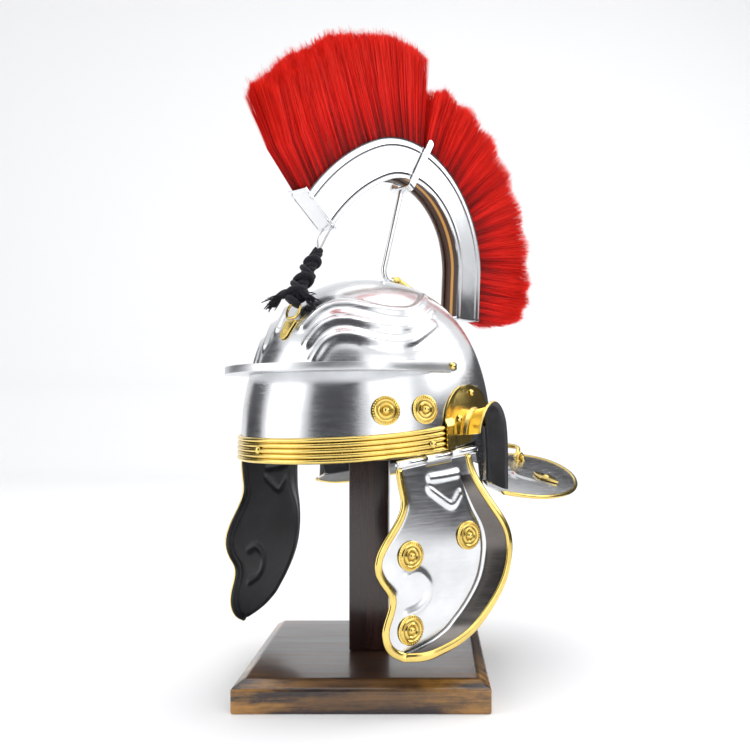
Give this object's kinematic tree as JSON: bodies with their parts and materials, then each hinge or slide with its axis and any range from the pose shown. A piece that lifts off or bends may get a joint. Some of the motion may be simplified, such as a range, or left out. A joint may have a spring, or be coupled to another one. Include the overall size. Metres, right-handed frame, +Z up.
{
  "type": "roman legionary helmet on a wooden display stand",
  "caption": "Hollow steel helmet with brass trim, hinged cheek pieces, neck guard and curved bristle crest, held on a square post and base",
  "frame": {"origin": "centre of the underside of the stand's base", "axes": "+Z up, the helmet faces -Y, +X is the wearer's left; the base is turned 40 degrees about Z"},
  "size_m": [0.2784, 0.3782, 0.5722],
  "materials": {
    "steel": "polished sheet steel with faint hammer marks",
    "brass": "polished brass",
    "base_wood": "dark stained wood, worn to ochre at the edges",
    "post_wood": "near-black stained wood",
    "core_wood": "dark brown wood",
    "bristle": "dyed red bristle",
    "cord": "black braided cord"
  },
  "bodies": {
    "stand": {"stand_base": "base_wood", "stand_post": "post_wood", "bowl": "steel", "brow_band": "brass", "brow_guard": "steel", "ear_guard_left": "brass", "ear_guard_right": "brass", "neck_edge": "brass", "neck_lozenge_left": "brass", "neck_lozenge_right": "brass", "neck_staple_left": "brass", "neck_staple_right": "brass", "hinge_leaf_left": "steel", "hinge_leaf_right": "steel", "hinge_pin_left": "steel", "hinge_pin_right": "steel", "bowl_rosette_1_left": "brass", "bowl_rosette_1_right": "brass", "bowl_rosette_2_left": "brass", "bowl_rosette_2_right": "brass", "crest_box": "steel", "crest_core": "core_wood", "crest_hair_front": "bristle", "crest_hair_rear": "bristle", "crest_fork": "steel", "crest_socket": "brass", "front_plate": "brass", "front_ring": "brass", "lashing_cord": "cord", "crest_wire": "steel", "rear_hook": "steel", "band_rivet_left": "brass", "band_rivet_right": "brass", "guard_rivet_left": "brass", "guard_rivet_right": "brass", "ear_rivet_1_left": "brass", "ear_rivet_1_right": "brass", "ear_rivet_2_left": "brass", "ear_rivet_2_right": "brass"},
    "cheek_piece_left": {"cheek_left": "steel", "cheek_edge_left": "brass", "cheek_rosette_1_left": "brass", "cheek_rosette_2_left": "brass", "cheek_rosette_3_left": "brass"},
    "cheek_piece_right": {"cheek_right": "steel", "cheek_edge_right": "brass", "cheek_rosette_1_right": "brass", "cheek_rosette_2_right": "brass", "cheek_rosette_3_right": "brass"},
    "carrying_handle": {"neck_handle": "brass"}
  },
  "joints": [
    {"name": "cheek_left_hinge", "type": "hinge", "parent": "stand", "child": "cheek_piece_left", "pos_m": [0.092, -0.066, 0.1908], "axis": [-0.173, -0.9762, -0.131], "range_deg": [-12, 80]},
    {"name": "cheek_right_hinge", "type": "hinge", "parent": "stand", "child": "cheek_piece_right", "pos_m": [-0.092, -0.066, 0.1908], "axis": [-0.173, 0.9762, 0.131], "range_deg": [-12, 80]},
    {"name": "handle_hinge", "type": "hinge", "parent": "stand", "child": "carrying_handle", "pos_m": [0, 0.168, 0.18567], "axis": [1, 0, 0], "range_deg": [-18, 110]}
  ]
}
